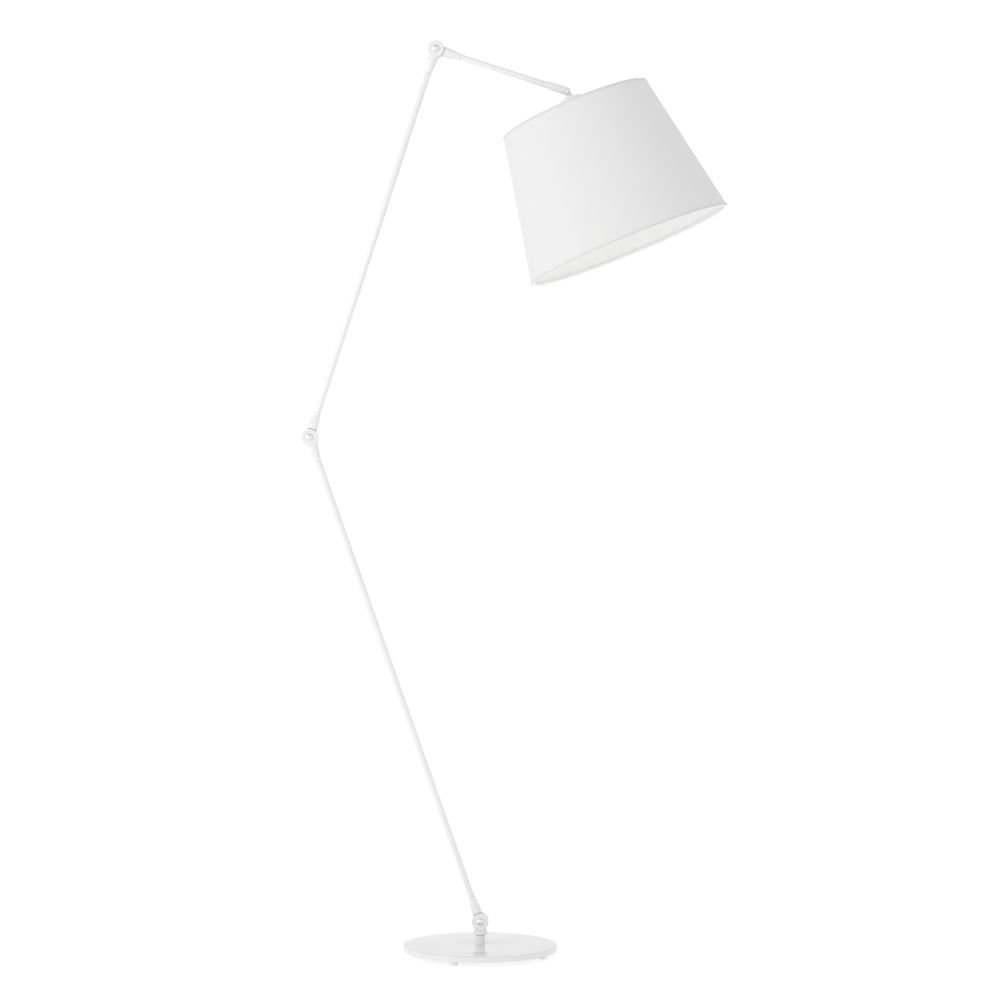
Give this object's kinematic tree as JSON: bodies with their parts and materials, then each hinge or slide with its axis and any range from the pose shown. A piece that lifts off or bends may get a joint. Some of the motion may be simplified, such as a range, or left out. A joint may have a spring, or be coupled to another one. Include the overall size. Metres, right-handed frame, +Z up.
{
  "type": "adjustable arm floor lamp",
  "caption": "White floor lamp with a round weighted base, jointed arms on friction knuckles and a tilting cone-shaped textile shade.",
  "frame": {"origin": "on the floor, on the axis of the round base and its swivel", "axes": "+Z up; the arms lie in the XZ plane at rest with the shade towards +X; every knuckle turns about Y and -Y is the front"},
  "size_m": [0.8298, 0.412, 1.778],
  "materials": {
    "white_lacquer": "gloss",
    "polished_steel": "polished",
    "zinc_steel": "satin",
    "brass": "satin",
    "pale_polymer": "satin",
    "soft_rubber": "matte",
    "cable_sheath": "satin",
    "shade_textile": "matte",
    "opal_glass": "satin"
  },
  "bodies": {
    "base": {"base_plate": "white_lacquer", "foot_front_right": "soft_rubber", "foot_rear_right": "soft_rubber", "foot_rear_left": "soft_rubber", "foot_front_left": "soft_rubber", "bottom_cover": "zinc_steel", "cable_grommet": "soft_rubber", "base_washer": "zinc_steel", "base_nut": "zinc_steel", "threaded_stud": "zinc_steel", "column": "white_lacquer", "column_cable": "cable_sheath", "swivel_washer": "pale_polymer", "swivel_nut": "zinc_steel"},
    "swivel_head": {"swivel_fork": "white_lacquer", "low_pivot_bolt": "polished_steel", "low_cap_nut": "polished_steel", "low_spring_washer": "zinc_steel", "low_friction_washer_front": "pale_polymer", "low_friction_washer_back": "pale_polymer"},
    "lower_arm": {"low_eye": "white_lacquer", "low_cable_loop": "cable_sheath", "lower_arm_tube": "white_lacquer", "mid_fork": "white_lacquer", "lower_arm_cable": "cable_sheath", "mid_pivot_bolt": "polished_steel", "mid_cap_nut": "polished_steel", "mid_spring_washer": "zinc_steel", "mid_friction_washer_front": "pale_polymer", "mid_friction_washer_back": "pale_polymer"},
    "middle_arm": {"mid_eye": "white_lacquer", "mid_cable_loop": "cable_sheath", "middle_arm_tube": "white_lacquer", "top_fork": "white_lacquer", "middle_arm_cable": "cable_sheath", "top_pivot_bolt": "polished_steel", "top_cap_nut": "polished_steel", "top_spring_washer": "zinc_steel", "top_friction_washer_front": "pale_polymer", "top_friction_washer_back": "pale_polymer"},
    "upper_arm": {"top_eye": "white_lacquer", "top_cable_loop": "cable_sheath", "upper_arm_tube": "white_lacquer", "arm_end_fork": "white_lacquer", "upper_arm_cable": "cable_sheath", "shade_pivot_screw": "white_lacquer", "shade_pivot_nut": "polished_steel"},
    "shade": {"shade_tongue": "white_lacquer", "lampholder_cup": "white_lacquer", "tongue_nut": "zinc_steel", "lampholder_body": "pale_polymer", "lampholder_contact": "brass", "shade_ring": "pale_polymer", "shade_carrier": "white_lacquer", "shade_bottom_wire": "white_lacquer", "shade_skin": "shade_textile", "shade_top_tape": "shade_textile", "shade_bottom_tape": "shade_textile", "bulb_cap": "zinc_steel", "bulb_glass": "opal_glass"}
  },
  "joints": [
    {"name": "base_swivel", "type": "hinge", "parent": "base", "child": "swivel_head", "pos_m": [0, 0, 0.043], "axis": [0, 0, 1], "range_deg": [-170, 170]},
    {"name": "lower_tilt", "type": "hinge", "parent": "swivel_head", "child": "lower_arm", "pos_m": [0, 0, 0.065], "axis": [0, 1, 0], "range_deg": [-20.6, 59.4]},
    {"name": "elbow", "type": "hinge", "parent": "lower_arm", "child": "middle_arm", "pos_m": [-0.3315, 0, 1.00634], "axis": [0, 1, 0], "range_deg": [-132.4, 57.6]},
    {"name": "upper_elbow", "type": "hinge", "parent": "middle_arm", "child": "upper_arm", "pos_m": [-0.08614, 0, 1.76148], "axis": [0, 1, 0], "range_deg": [-184.8, 5.2]},
    {"name": "shade_tilt", "type": "hinge", "parent": "upper_arm", "child": "shade", "pos_m": [0.16999, 0, 1.67924], "axis": [0, 1, 0], "range_deg": [-130.4, 29.6]}
  ]
}
